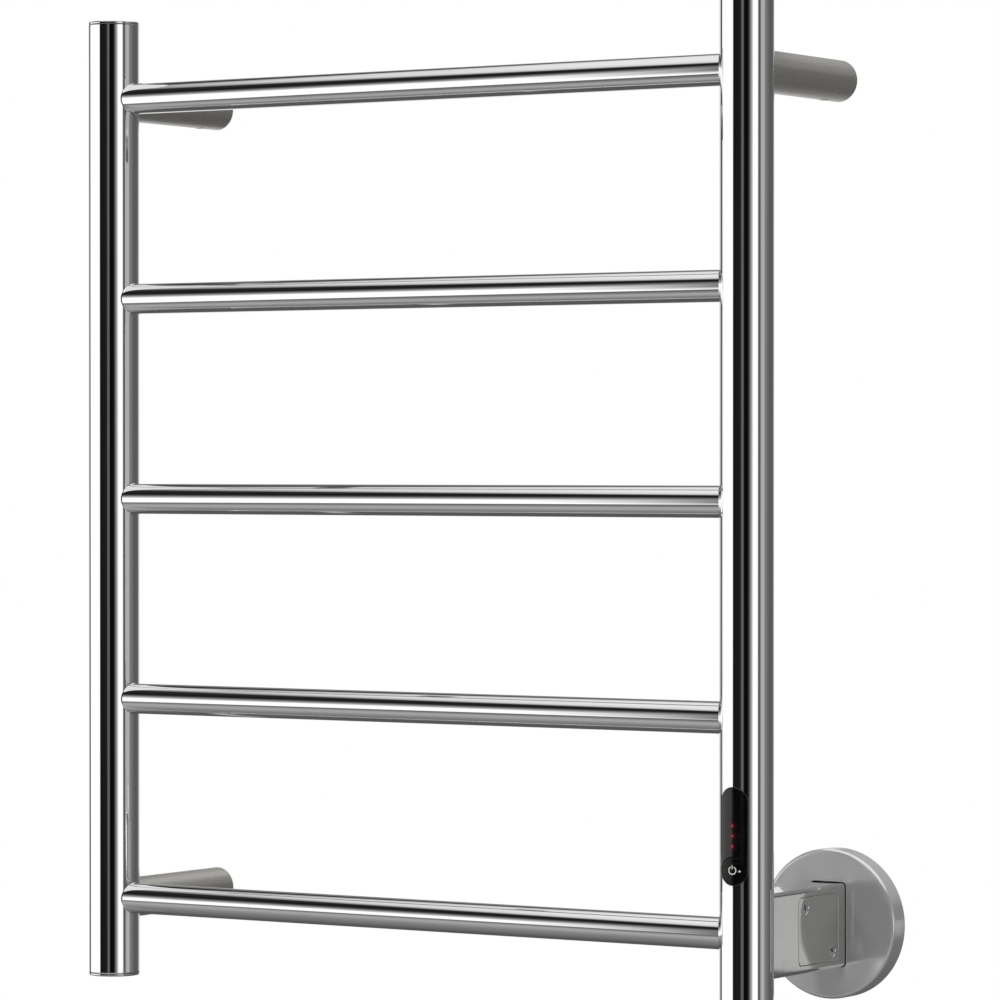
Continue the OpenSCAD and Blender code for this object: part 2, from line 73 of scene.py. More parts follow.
def makeCamera():
    look = cameraLook
    yaw = radians(look["yaw"])
    right = Vector((cos(yaw), sin(yaw), 0))
    back = Vector((sin(yaw), -cos(yaw), 0))
    data = bpy.data.cameras.new("rackCamera")
    data.lens = look["lens"]
    data.sensor_width = look["sensor"]
    data.clip_end = look["reach"]
    camera = bpy.data.objects.new("rackCamera", data)
    camera.location = (Vector((0, uprightY, rackMidZ + look["above"]))
                       + right * look["aside"] + back * look["distance"])
    camera.rotation_euler = (radians(90 - look["tilt"]), 0, yaw)
    bpy.context.collection.objects.link(camera)
    bpy.context.scene.camera = camera


makeCamera()
print("camera placed")


def addNode(tree, kind, **values):
    node = tree.nodes.new(kind)
    for name, value in values.items():
        setattr(node, name, value)
    return node


def mathNode(tree, operation, first, second=None):
    node = addNode(tree, "ShaderNodeMath", operation=operation)
    for socket, value in zip(node.inputs, (first, second)):
        if value is None:
            continue
        if isinstance(value, (int, float)):
            socket.default_value = value
        else:
            tree.links.new(value, socket)
    return node.outputs[0]


def rampNode(tree, factor, stops, mode="LINEAR"):
    node = addNode(tree, "ShaderNodeValToRGB")
    ramp = node.color_ramp
    ramp.interpolation = mode
    while len(ramp.elements) > 1:
        ramp.elements.remove(ramp.elements[-1])
    for index, (place, value) in enumerate(stops):
        element = ramp.elements[0] if index == 0 else ramp.elements.new(place)
        element.position = place
        element.color = (*value, 1) if isinstance(value, tuple) else (value, value, value, 1)
    tree.links.new(factor, node.inputs["Fac"])
    return node.outputs["Color"]


def stepNode(tree, value, low, high, kind="SMOOTHSTEP"):
    # 0 below low, 1 above high, an eased rise between them
    node = addNode(tree, "ShaderNodeMapRange", interpolation_type=kind)
    node.inputs["From Min"].default_value = low
    node.inputs["From Max"].default_value = high
    tree.links.new(value, node.inputs["Value"])
    return node.outputs["Result"]


def mixNode(tree, factor, first, second, blend="MIX"):
    # a colour between two colours or sockets, by a number or a socket
    node = addNode(tree, "ShaderNodeMix", data_type="RGBA", blend_type=blend)
    for label, value in (("Factor", factor), ("A", first), ("B", second)):
        if isinstance(value, tuple):
            node.inputs[label].default_value = (*value, 1)
        elif isinstance(value, (int, float)):
            node.inputs[label].default_value = value
        else:
            tree.links.new(value, node.inputs[label])
    return node.outputs["Result"]


def newGroup(name, inputs, outputs):
    group = bpy.data.node_groups.new(name, "ShaderNodeTree")
    for label, kind, value in inputs:
        socket = group.interface.new_socket(label, in_out="INPUT", socket_type=kind)
        if value is not None:
            socket.default_value = value
    for label, kind in outputs:
        group.interface.new_socket(label, in_out="OUTPUT", socket_type=kind)
    return group, group.nodes.new("NodeGroupInput"), group.nodes.new("NodeGroupOutput")


def buildGrainGroup():
    # fine grain: noise at a real size, as a value around Base and a height
    group, source, sink = newGroup(
        "fineGrain",
        [("Vector", "NodeSocketVector", None), ("Scale", "NodeSocketFloat", 900.0),
         ("Base", "NodeSocketFloat", 0.3), ("Amount", "NodeSocketFloat", 0.05)],
        [("Value", "NodeSocketFloat"), ("Height", "NodeSocketFloat")])
    noise = addNode(group, "ShaderNodeTexNoise")
    noise.inputs["Detail"].default_value = 3
    group.links.new(source.outputs["Vector"], noise.inputs["Vector"])
    group.links.new(source.outputs["Scale"], noise.inputs["Scale"])
    centred = mathNode(group, "SUBTRACT", noise.outputs["Fac"], 0.5)
    swing = mathNode(group, "MULTIPLY", centred, source.outputs["Amount"])
    group.links.new(mathNode(group, "ADD", swing, source.outputs["Base"]), sink.inputs["Value"])
    group.links.new(noise.outputs["Fac"], sink.inputs["Height"])
    return group


smudgeLook = {"patchDetail": 4, "streakDetail": 6, "streakScale": 7.0, "from": 0.24, "to": 0.42}


def buildSmudgeGroup():
    # handling marks: soft patches broken up by streaks, 0 on clean metal and 1 on a smudge
    group, source, sink = newGroup(
        "handlingMarks",
        [("Vector", "NodeSocketVector", None), ("Scale", "NodeSocketFloat", 18.0)],
        [("Mask", "NodeSocketFloat")])
    patch = addNode(group, "ShaderNodeTexNoise")
    patch.inputs["Detail"].default_value = smudgeLook["patchDetail"]
    streak = addNode(group, "ShaderNodeTexNoise")
    streak.inputs["Detail"].default_value = smudgeLook["streakDetail"]
    group.links.new(source.outputs["Vector"], patch.inputs["Vector"])
    group.links.new(source.outputs["Scale"], patch.inputs["Scale"])
    group.links.new(source.outputs["Vector"], streak.inputs["Vector"])
    finer = mathNode(group, "MULTIPLY", source.outputs["Scale"], smudgeLook["streakScale"])
    group.links.new(finer, streak.inputs["Scale"])
    both = mathNode(group, "MULTIPLY", patch.outputs["Fac"], streak.outputs["Fac"])
    shaped = stepNode(group, both, smudgeLook["from"], smudgeLook["to"])
    group.links.new(shaped, sink.inputs["Mask"])
    return group


def buildBrushGroup():
    # brushed lines: noise squeezed along one axis by the Stretch vector
    group, source, sink = newGroup(
        "brushedLines",
        [("Vector", "NodeSocketVector", None), ("Stretch", "NodeSocketVector", (1, 1, 1)),
         ("Base", "NodeSocketFloat", 0.3), ("Amount", "NodeSocketFloat", 0.1)],
        [("Value", "NodeSocketFloat"), ("Height", "NodeSocketFloat")])
    scaled = addNode(group, "ShaderNodeVectorMath", operation="MULTIPLY")
    group.links.new(source.outputs["Vector"], scaled.inputs[0])
    group.links.new(source.outputs["Stretch"], scaled.inputs[1])
    noise = addNode(group, "ShaderNodeTexNoise")
    noise.inputs["Scale"].default_value = 1
    noise.inputs["Detail"].default_value = 5
    group.links.new(scaled.outputs[0], noise.inputs["Vector"])
    centred = mathNode(group, "SUBTRACT", noise.outputs["Fac"], 0.5)
    swing = mathNode(group, "MULTIPLY", centred, source.outputs["Amount"])
    group.links.new(mathNode(group, "ADD", swing, source.outputs["Base"]), sink.inputs["Value"])
    group.links.new(noise.outputs["Fac"], sink.inputs["Height"])
    return group


grainGroup = buildGrainGroup()
smudgeGroup = buildSmudgeGroup()
brushGroup = buildBrushGroup()


def startMaterial(name, color, metallic=0.0):
    material = bpy.data.materials.new(name)
    material.use_nodes = True
    tree = material.node_tree
    shader = tree.nodes["Principled BSDF"]
    shader.inputs["Base Color"].default_value = (*color, 1)
    shader.inputs["Metallic"].default_value = metallic
    material.diffuse_color = (*color, 1)
    place = addNode(tree, "ShaderNodeTexCoord").outputs["Object"]
    return material, tree, shader, place


def placeGroup(tree, group, place, **values):
    node = addNode(tree, "ShaderNodeGroup", node_tree=group)
    tree.links.new(place, node.inputs["Vector"])
    for name, value in values.items():
        node.inputs[name].default_value = value
    return node


def bumpInto(tree, shader, height, strength, distance):
    bump = addNode(tree, "ShaderNodeBump")
    bump.inputs["Strength"].default_value = strength
    bump.inputs["Distance"].default_value = distance
    tree.links.new(height, bump.inputs["Height"])
    tree.links.new(bump.outputs["Normal"], shader.inputs["Normal"])


def tintBetween(tree, shader, mask, first, second):
    tree.links.new(mixNode(tree, mask, first, second), shader.inputs["Base Color"])


chromeLook = {"clean": (0.925, 0.925, 0.925), "smudged": (0.910, 0.909, 0.907),
              "roughness": 0.020, "smudgeRoughness": 0.008, "smudgeScale": 16.0,
              "grainScale": 240.0, "grainSwing": 0.4, "ripple": 0.0000015}


def makeChrome(name, roughness, clean, smudged, metallic=1.0):
    # polished plate: a faint orange-peel ripple, and smudges that blur it a little
    look = chromeLook
    material, tree, shader, place = startMaterial(name, clean, metallic)
    marks = placeGroup(tree, smudgeGroup, place, Scale=look["smudgeScale"])
    grain = placeGroup(tree, grainGroup, place, Scale=look["grainScale"], Base=roughness,
                       Amount=roughness * look["grainSwing"])
    dulled = mathNode(tree, "MULTIPLY", marks.outputs["Mask"], look["smudgeRoughness"])
    tree.links.new(mathNode(tree, "ADD", dulled, grain.outputs["Value"]), shader.inputs["Roughness"])
    tintBetween(tree, shader, marks.outputs["Mask"], clean, smudged)
    bumpInto(tree, shader, grain.outputs["Height"], 0.25, look["ripple"])
    return material


def makeSatin(name, color, darker, stretch, roughness, depth, metallic=1.0, swing=0.22):
    # satin steel: fine lines along the length of the piece
    material, tree, shader, place = startMaterial(name, color, metallic)
    lines = placeGroup(tree, brushGroup, place, Stretch=stretch, Base=roughness, Amount=swing)
    tree.links.new(lines.outputs["Value"], shader.inputs["Roughness"])
    tintBetween(tree, shader, lines.outputs["Height"], color, darker)
    bumpInto(tree, shader, lines.outputs["Height"], 0.3, depth)
    return material


screwLook = {"metal": (0.88, 0.88, 0.87), "darker": (0.74, 0.74, 0.74), "stretch": (300, 1400, 1400),
             "recessShade": (0.03, 0.03, 0.03), "shadeFrom": 0.2 * mm, "shadeFull": 0.6 * mm}


def makeScrewHead(name):
    # turned head: brushed lines, and painted shade that darkens it with the depth below the cover's face, in
    # the cross and down the skirt
    look = screwLook
    material = makeSatin(name, look["metal"], look["darker"], look["stretch"], 0.22, 0.00001)
    tree = material.node_tree
    shader = tree.nodes["Principled BSDF"]
    split = addNode(tree, "ShaderNodeSeparateXYZ")
    tree.links.new(addNode(tree, "ShaderNodeTexCoord").outputs["Object"], split.inputs[0])
    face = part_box("arm_side_cover")[1].x
    # painted shade: near black from 0.2 mm below the cover's face, full at 0.6 mm
    depth = stepNode(tree, split.outputs["X"], face - look["shadeFrom"], face - look["shadeFull"])
    lined = shader.inputs["Base Color"].links[0].from_socket
    tree.links.new(mixNode(tree, depth, lined, look["recessShade"]), shader.inputs["Base Color"])
    return material


def makePlated(name, color, darker, roughness):
    # zinc or brass: cloudy tone with a fine grain
    material, tree, shader, place = startMaterial(name, color, 1.0)
    marks = placeGroup(tree, smudgeGroup, place, Scale=60.0)
    grain = placeGroup(tree, grainGroup, place, Scale=2500.0, Base=roughness, Amount=0.12)
    tree.links.new(grain.outputs["Value"], shader.inputs["Roughness"])
    tintBetween(tree, shader, marks.outputs["Mask"], color, darker)
    bumpInto(tree, shader, grain.outputs["Height"], 0.3, 0.00001)
    return material


def makePolymer(name, color, darker, roughness, grainScale, depth):
    # moulded plastic or rubber: fine texture and a cloudy tone
    material, tree, shader, place = startMaterial(name, color)
    marks = placeGroup(tree, smudgeGroup, place, Scale=40.0)
    grain = placeGroup(tree, grainGroup, place, Scale=grainScale, Base=roughness, Amount=0.1)
    tree.links.new(grain.outputs["Value"], shader.inputs["Roughness"])
    tintBetween(tree, shader, marks.outputs["Mask"], color, darker)
    bumpInto(tree, shader, grain.outputs["Height"], 0.2, depth)
    return material


boardLook = {"bare": (0.02, 0.13, 0.06), "lacquer": (0.015, 0.10, 0.045), "track": (0.04, 0.20, 0.09),
             "waves": 160, "wander": 3}


def makeBoard(name):
    # solder mask with copper tracks: stripes of a wave under green lacquer
    look = boardLook
    material, tree, shader, place = startMaterial(name, look["bare"])
    wave = addNode(tree, "ShaderNodeTexWave", bands_direction="Z")
    wave.inputs["Scale"].default_value = look["waves"]
    wave.inputs["Distortion"].default_value = look["wander"]
    tree.links.new(place, wave.inputs["Vector"])
    tintBetween(tree, shader, wave.outputs["Fac"], look["lacquer"], look["track"])
    shader.inputs["Roughness"].default_value = 0.35
    bumpInto(tree, shader, wave.outputs["Fac"], 0.3, 0.00002)
    return material


padLook = {"color": (0.003, 0.003, 0.004), "haze": (0.008, 0.008, 0.009), "roughness": 0.17,
           "glow": (0.30, 0.006, 0.03), "glowReach": 0.0042, "glowCore": 0.0006, "glowStrength": 0.075,
           "lampCount": 3, "lampFlange": 1.4 * mm}


def ledCentres():
    # the lamps stand one above the other; the node's box ends at the outermost flanges
    low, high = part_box("indicator_leds")
    steps = np.linspace(low.z + padLook["lampFlange"], high.z - padLook["lampFlange"], padLook["lampCount"])
    return [Vector(((low.x + high.x) / 2, low.y, z)) for z in steps]


def makePadGloss(name, lit, shine=0.5):
    # black gloss over red lamps: a soft glow that fades with the distance from each lamp
    look = padLook
    material, tree, shader, place = startMaterial(name, look["color"])
    grain = placeGroup(tree, grainGroup, place, Scale=700.0, Base=look["roughness"], Amount=0.03)
    marks = placeGroup(tree, smudgeGroup, place, Scale=90.0)
    dulled = mathNode(tree, "MULTIPLY", marks.outputs["Mask"], 0.05)
    tree.links.new(mathNode(tree, "ADD", dulled, grain.outputs["Value"]), shader.inputs["Roughness"])
    tintBetween(tree, shader, marks.outputs["Mask"], look["color"], look["haze"])
    shader.inputs["Specular IOR Level"].default_value = shine
    if lit:
        total = None
        for centre in ledCentres():
            away = addNode(tree, "ShaderNodeVectorMath", operation="DISTANCE")
            tree.links.new(place, away.inputs[0])
            away.inputs[1].default_value = centre
            fade = stepNode(tree, away.outputs["Value"], look["glowReach"], look["glowCore"], "SMOOTHERSTEP")
            total = fade if total is None else mathNode(tree, "MAXIMUM", total, fade)
        tree.links.new(mixNode(tree, total, (0, 0, 0), look["glow"]), shader.inputs["Emission Color"])
        shader.inputs["Emission Strength"].default_value = look["glowStrength"]
    return material


lampLook = {"lens": (0.25, 0.01, 0.03), "bright": (0.75, 0.08, 0.16), "dim": (0.35, 0.01, 0.05),
            "cells": 2600, "cellEdge": 0.8, "strength": 0.29}


def makeLamp(name):
    # red lens: bright in the middle of its cells, lit from behind
    look = lampLook
    material, tree, shader, place = startMaterial(name, look["lens"])
    cells = addNode(tree, "ShaderNodeTexVoronoi")
    cells.inputs["Scale"].default_value = look["cells"]
    tree.links.new(place, cells.inputs["Vector"])
    stops = [(0.0, look["bright"]), (look["cellEdge"], look["dim"])]
    shine = rampNode(tree, cells.outputs["Distance"], stops)
    tree.links.new(shine, shader.inputs["Emission Color"])
    shader.inputs["Emission Strength"].default_value = look["strength"]
    shader.inputs["Roughness"].default_value = 0.2
    return material


markLook = {"bare": (0.86, 0.87, 0.88), "ink": (0.80, 0.78, 0.72), "thin": (0.66, 0.64, 0.58),
            "glow": (0.9, 0.85, 0.72), "strength": 0.16}


def makeMark(name):
    # printed white: slightly uneven ink, with a faint painted glow that brightens it though it is no lamp
    look = markLook
    material, tree, shader, place = startMaterial(name, look["bare"])
    marks = placeGroup(tree, smudgeGroup, place, Scale=300.0)
    tintBetween(tree, shader, marks.outputs["Mask"], look["ink"], look["thin"])
    shader.inputs["Roughness"].default_value = 0.4
    # painted glow: the ink gives off a little light of its own
    shader.inputs["Emission Color"].default_value = (*look["glow"], 1)
    shader.inputs["Emission Strength"].default_value = look["strength"]
    return material


finish = {
    "chrome": makeChrome("polishedChrome", chromeLook["roughness"], chromeLook["clean"],
                         chromeLook["smudged"]),
    "rose": makeChrome("roseChrome", 0.15, (0.97, 0.97, 0.97), (0.94, 0.94, 0.94), 0.5),
    "arm": makeChrome("armChrome", 0.07, (0.90, 0.89, 0.875), (0.85, 0.84, 0.83)),
    "satin": makeSatin("satinSleeve", (0.64, 0.62, 0.585), (0.60, 0.58, 0.545), (1500, 20, 1500), 0.28,
                       0.000002, 0.6, 0.08),
    "screw": makeScrewHead("turnedScrew"),
    "plated": makePlated("zincPlate", (0.66, 0.66, 0.64), (0.52, 0.52, 0.51), 0.34),
    "brass": makePlated("turnedBrass", (0.75, 0.55, 0.24), (0.60, 0.42, 0.17), 0.26),
    "rubber": makePolymer("blackRubber", (0.02, 0.02, 0.022), (0.035, 0.035, 0.036), 0.62, 1800.0,
                          0.00004),
    "silicone": makePolymer("redSilicone", (0.42, 0.06, 0.035), (0.34, 0.05, 0.03), 0.5, 900.0,
                            0.00003),
    "white": makePolymer("whiteMoulding", (0.80, 0.80, 0.77), (0.72, 0.72, 0.69), 0.42, 1500.0,
                         0.00002),
    "matte": makePolymer("blackMoulding", (0.02, 0.02, 0.022), (0.03, 0.03, 0.03), 0.45, 1500.0,
                         0.00002),
    "board": makeBoard("circuitBoard"),
    "pad": makePadGloss("padGloss", True),
    "button": makePadGloss("buttonGloss", False, 0.22),
    "lamp": makeLamp("redLamp"),
    "mark": makeMark("whiteMark"),
}
slotFinish = {"chrome": "chrome", "satin_steel": "satin", "plated_steel": "plated", "screw_steel": "screw",
              "brass": "brass", "black_gloss": "button", "black_matte": "matte", "white_plastic": "white",
              "white_mark": "mark", "red_lens": "lamp", "circuit_board": "board", "silicone": "silicone",
              "black_rubber": "rubber"}

for part in frame["record"]["subparts"]:    # every CAD node gets the finish of its slot
    mesh = frame["nodes"][part["node"]].data
    mesh.materials.clear()
    mesh.materials.append(finish[slotFinish[part["material_slot"]]])
print("finishes made:", len(finish))


def gridFaces(points, closeAcross=True, closeAlong=False):
    # one four-sided face between neighbouring rows and columns, wrapped where asked
    rows, columns = points.shape[:2]
    index = np.arange(rows * columns).reshape(rows, columns)
    if closeAlong:
        index = np.vstack([index, index[:1]])
    if closeAcross:
        index = np.hstack([index, index[:, :1]])
    faces = np.stack([index[:-1, :-1], index[1:, :-1], index[1:, 1:], index[:-1, 1:]], axis=-1)
    return points.reshape(-1, 3).tolist(), faces.reshape(-1, 4).tolist()


def gridPiece(name, points, look, body, closeAcross=True, closeAlong=True, sharp=32):
    # a mesh from a grid of points: rows run along, columns run across
    vertices, faces = gridFaces(points, closeAcross, closeAlong)
    mesh = bpy.data.meshes.new(name)
    mesh.from_pydata(vertices, [], faces)
    return finishPiece(name, mesh, look, body, sharp)


def finishPiece(name, mesh, look, body, sharp=32):
    work = bmesh.new()
    work.from_mesh(mesh)
    bmesh.ops.remove_doubles(work, verts=work.verts, dist=2e-7)
    bmesh.ops.dissolve_degenerate(work, edges=work.edges, dist=1e-7)
    bmesh.ops.recalc_face_normals(work, faces=work.faces)
    work.to_mesh(mesh)
    work.free()
    mesh.shade_smooth()
    mesh.set_sharp_from_angle(angle=radians(sharp))
    mesh.materials.append(look)
    piece = bpy.data.objects.new(name, mesh)
    bpy.context.collection.objects.link(piece)
    weighted = piece.modifiers.new("evenShading", "WEIGHTED_NORMAL")
    weighted.keep_sharp = True
    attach(piece, body)
    return piece


def arcPoints(centre, radius, start, stop, steps):
    # points on a circle between two angles in degrees
    angle = np.radians(np.linspace(start, stop, steps))
    return np.stack([centre[0] + radius * np.cos(angle), centre[1] + radius * np.sin(angle)], axis=1)


def turned(profile, segments, axis, centre):
    # a closed outline (radius, distance along the axis) carried round the axis
    outline = np.asarray(profile, float)
    angle = np.linspace(0, 2 * pi, segments, endpoint=False)
    radius = outline[:, 0][:, None]
    along = np.repeat(outline[:, 1][:, None], segments, axis=1)
    first, second = radius * np.cos(angle), radius * np.sin(angle)
    order = {"x": (along, first, second), "y": (first, along, second), "z": (first, second, along)}[axis]
    return np.stack(order, axis=-1) + np.asarray(centre, float)


def roundedRect(width, height, radius, steps=8):
    # outline of a rectangle with quarter-circle corners, run round once
    corners = [(1, 1, 0), (-1, 1, 90), (-1, -1, 180), (1, -1, 270)]
    runs = [arcPoints((sx * (width / 2 - radius), sy * (height / 2 - radius)), radius, a, a + 90, steps)
            for sx, sy, a in corners]
    return np.vstack(runs)


uprightLook = {"wall": 1.2 * mm, "segments": 192, "edge": 0.25 * mm,
               "slotColumns": 17, "slotRows": (3, 4, 9, 10)}


def makeUpright(side, low, high, centreX):
    # a tube: outer and inner wall with a tiny eased lip at each end; the right one is open in front,
    # between heights that follow a half circle below and above (the seat of the control pad)
    look = uprightLook
    r, w, e, count = uprightRadius, look["wall"], look["edge"], look["segments"]
    reach = look["slotColumns"]
    turns = 2 * pi * np.arange(count) / count
    across = r * np.sin(turns)
    halfWidth = r * sin(2 * pi * reach / count)
    inFront = (across ** 2 <= halfWidth ** 2 + 1e-12) & (np.cos(turns) > 0)
    padFrom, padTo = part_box("control_pad")
    margin = (padTo.x - padFrom.x) / 2 - halfWidth
    bow = np.where(inFront, np.sqrt(np.maximum(halfWidth ** 2 - across ** 2, 0)), 0)
    slotLow = padFrom.z + margin + halfWidth - bow
    slotHigh = padTo.z - margin - halfWidth + bow
    outline = [(r - e, low.z), (r, low.z + e), (r, low.z + 4 * e), (r, slotLow), (r, slotHigh),
               (r, high.z - 4 * e), (r, high.z - e), (r - e, high.z), (r - w, high.z),
               (r - w, slotHigh), (r - w, slotLow), (r - w, low.z)]
    points = np.array([np.stack([centreX + radius * np.sin(turns), uprightY - radius * np.cos(turns),
                                 np.broadcast_to(z, turns.shape)], axis=1) for radius, z in outline])
    index = np.arange(len(outline) * count).reshape(len(outline), count)
    above, onward = np.roll(index, -1, axis=0), np.roll(index, -1, axis=1)
    cells = np.stack([index, onward, np.roll(above, -1, axis=1), above], axis=-1)
    outerLow, outerHigh, innerHigh, innerLow = look["slotRows"]
    if side == "right":
        slotted = np.arange(-reach, reach) % count
        kept = np.ones(index.shape, bool)
        kept[np.ix_([outerLow, innerHigh], slotted)] = False
        faces = [cells[kept]]
        for outer, inner in ((outerLow, innerLow), (outerHigh, innerHigh)):   # wall round the opening
            faces.append(np.stack([index[outer, slotted], onward[outer, slotted],
                                   onward[inner, slotted], index[inner, slotted]], axis=1))
        faces.append(index[[outerLow, outerHigh, innerHigh, innerLow]][:, [-reach, reach]].T)
        faces = np.vstack(faces)
    else:
        faces = cells.reshape(-1, 4)
    mesh = bpy.data.meshes.new(side + "UprightTube")
    mesh.from_pydata(points.reshape(-1, 3).tolist(), [], faces.tolist())
    piece = finishPiece(side + "UprightTube", mesh, finish["chrome"], "rack", sharp=60)
    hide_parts(side + "_upright")


capLook = {"edge": 0.7 * mm, "seam": 0.14 * mm, "segments": 192}


def makeCap(side, end, centreX):
    # a turned disc: quarter-round rim and a flat face, with a fine gap against the tube
    look = capLook
    low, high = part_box(f"{side}_{end}_cap")
    outward = 1 if end == "top" else -1
    tubeEnd = (leftHigh if outward > 0 else leftLow).z
    thick = abs((high.z if outward > 0 else low.z) - tubeEnd)
    r, e, seam = uprightRadius, look["edge"], look["seam"]
    rim = arcPoints((r - e, thick - e), e, 0, 90, 9)
    spread = np.linspace(r - 1.6 * e, 0.0, 12)
    face = np.stack([spread, np.full(12, thick)], axis=1)
    outline = np.vstack([[(0.0, -6 * mm), (r - 3 * mm, -6 * mm), (r - 3 * mm, seam), (r, seam)],
                         [(r, seam + 0.15 * mm)], rim, face])
    outline[:, 1] = tubeEnd + outward * outline[:, 1]
    points = turned(outline, look["segments"], "z", (centreX, uprightY, 0))
    piece = gridPiece(f"{side}{end.capitalize()}Cap", points, finish["chrome"], "rack",
                      closeAlong=False, sharp=40)
    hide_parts(f"{side}_{end}_cap")


for side, low, high, centreX in (("left", leftLow, leftHigh, leftX), ("right", rightLow, rightHigh, rightX)):
    makeUpright(side, low, high, centreX)
    for end in ("top", "bottom"):
        makeCap(side, end, centreX)
print("uprights and caps made")


barLook = {"wall": 1.0 * mm, "segments": 128, "fillet": 0.7 * mm, "filletRise": 0.45 * mm, "sink": 0.1 * mm}


def makeBar(number):
    # a tube whose ends follow the uprights; near each end its radius flares into a small weld fillet
    look = barLook
    low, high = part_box(f"bar_{number}")
    radius, centreZ = (high.z - low.z) / 2, (high.z + low.z) / 2
    angle = np.linspace(0, 2 * pi, look["segments"], endpoint=False)
    back = np.linspace(0, 1, 7)
    rows = []
    for side, centre in ((1, leftX), (-1, rightX)):
        ends = []
        for t in back:
            rise = look["filletRise"] * (1 - t) ** 2
            r = radius + rise
            y, z = r * np.cos(angle), r * np.sin(angle)
            reach = np.sqrt((uprightRadius - look["sink"]) ** 2 - y ** 2)
            x = centre + side * (reach + t * look["fillet"])
            ends.append(np.stack([x, uprightY + y, centreZ + z], axis=-1))
        rows.append(ends)
    inner = []
    r = radius - look["wall"]
    y, z = r * np.cos(angle), r * np.sin(angle)
    reach = np.sqrt((uprightRadius - look["sink"]) ** 2 - y ** 2)
    for side, centre in ((-1, rightX), (1, leftX)):
        inner.append(np.stack([centre + side * reach, uprightY + y, centreZ + z], axis=-1))
    points = np.array(rows[0] + rows[1][::-1] + inner)
    piece = gridPiece(f"barTube{number}", points, finish["chrome"], "rack", sharp=60)
    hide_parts(f"bar_{number}")


for number in range(1, 6):
    makeBar(number)
print("bars made")


sleeveLook = {"wall": 2.0 * mm, "segments": 128, "edge": 0.4 * mm}


def makeSleeve(node, centreX):
    # a tube along the wall's normal: coped round the upright in front, eased flat end at the wall
    look = sleeveLook
    low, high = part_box(node)
    radius, centreZ = (high.x - low.x) / 2, (high.z + low.z) / 2
    angle = np.linspace(0, 2 * pi, look["segments"], endpoint=False)

    def ring(r, y=None):
        x, z = r * np.cos(angle), r * np.sin(angle)
        if y is None:
            depth = uprightY + np.sqrt(uprightRadius ** 2 - x ** 2) - 0.1 * mm
        else:
            depth = np.full_like(x, y)
        return np.stack([centreX + x, depth, centreZ + z], axis=-1)

    e, w = look["edge"], look["wall"]
    rows = [ring(radius), ring(radius, -0.05), ring(radius, high.y - 3 * e), ring(radius, high.y - e),
            ring(radius - e, high.y), ring(radius - w, high.y), ring(radius - w, high.y - 0.04),
            ring(radius - w)]
    words = node.split("_")
    piece = gridPiece(words[0] + words[1].capitalize() + "Sleeve", np.array(rows),
                      finish["satin"], "rack", sharp=50)
    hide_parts(node)


makeSleeve("top_left_sleeve", leftX)
makeSleeve("top_right_sleeve", rightX)
makeSleeve("bottom_left_sleeve", leftX)
print("sleeves made")


armLook = {"corner": 2.4 * mm, "recess": 1.6 * mm, "gap": 0.25 * mm,
           "coverEdge": 0.35 * mm, "coverCorner": 3.0 * mm, "screwAside": 16.5 * mm, "screwRise": 14 * mm,
           "headRadius": 4.0 * mm, "crossHalf": 0.5 * mm, "crossReach": 2.3 * mm, "crossDepth": 1.3 * mm,
           "crossSoftness": 0.09 * mm, "headSegments": 144, "headSunk": 0.12 * mm, "headEase": 0.06 * mm,
           "headThick": 1.6 * mm, "headTaper": 0.7 * mm}
armLow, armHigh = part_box("arm_housing")
armX, armZ = (armLow.x + armHigh.x) / 2, (armLow.z + armHigh.z) / 2
coverLow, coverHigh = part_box("arm_side_cover")
coverY = (coverLow.y + coverHigh.y) / 2


def bakeModifiers(piece):
    graph = bpy.context.evaluated_depsgraph_get()
    mesh = bpy.data.meshes.new_from_object(piece.evaluated_get(graph))
    piece.modifiers.clear()
    piece.data = mesh


def cutBy(piece, cutters):
    # takes each cutter out of the piece, then drops the cutters
    for cutter in cutters:
        modifier = piece.modifiers.new("cut", "BOOLEAN")
        modifier.operation = "DIFFERENCE"
        modifier.solver = "EXACT"
        modifier.object = cutter
    bpy.context.view_layer.update()
    bakeModifiers(piece)
    for cutter in cutters:
        bpy.data.objects.remove(cutter)


def plainSolid(name, points):
    # a closed helper solid from a grid whose first and last rows are filled with one face
    vertices, faces = gridFaces(points)
    columns = points.shape[1]
    ends = [list(range(columns)), list(range(len(vertices) - columns, len(vertices)))]
    mesh = bpy.data.meshes.new(name)
    mesh.from_pydata(vertices, [], faces + ends)
    work = bmesh.new()
    work.from_mesh(mesh)
    bmesh.ops.recalc_face_normals(work, faces=work.faces)
    work.to_mesh(mesh)
    work.free()
    solid = bpy.data.objects.new(name, mesh)
    bpy.context.collection.objects.link(solid)
    return solid


def sideOutline(width, height, corner, x):
    # an outline on the arm's right side face: across is towards the wall, up is up
    outline = roundedRect(width, height, corner)
    return np.stack([np.full(len(outline), x), coverY + outline[:, 0], armZ + outline[:, 1]], axis=1)


def handOver(piece, look, body, sharp, bevel=None):
    # material, shading and body for a piece made with cutters
    mesh = piece.data
    mesh.materials.clear()
    mesh.materials.append(look)
    mesh.shade_smooth()
    mesh.set_sharp_from_angle(angle=radians(sharp))
    if bevel:
        edge = piece.modifiers.new("easedEdge", "BEVEL")
        edge.width, edge.segments = bevel, 3
        edge.limit_method, edge.angle_limit = "ANGLE", radians(40)
        edge.harden_normals = True
    weighted = piece.modifiers.new("evenShading", "WEIGHTED_NORMAL")
    weighted.keep_sharp = True
    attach(piece, body)


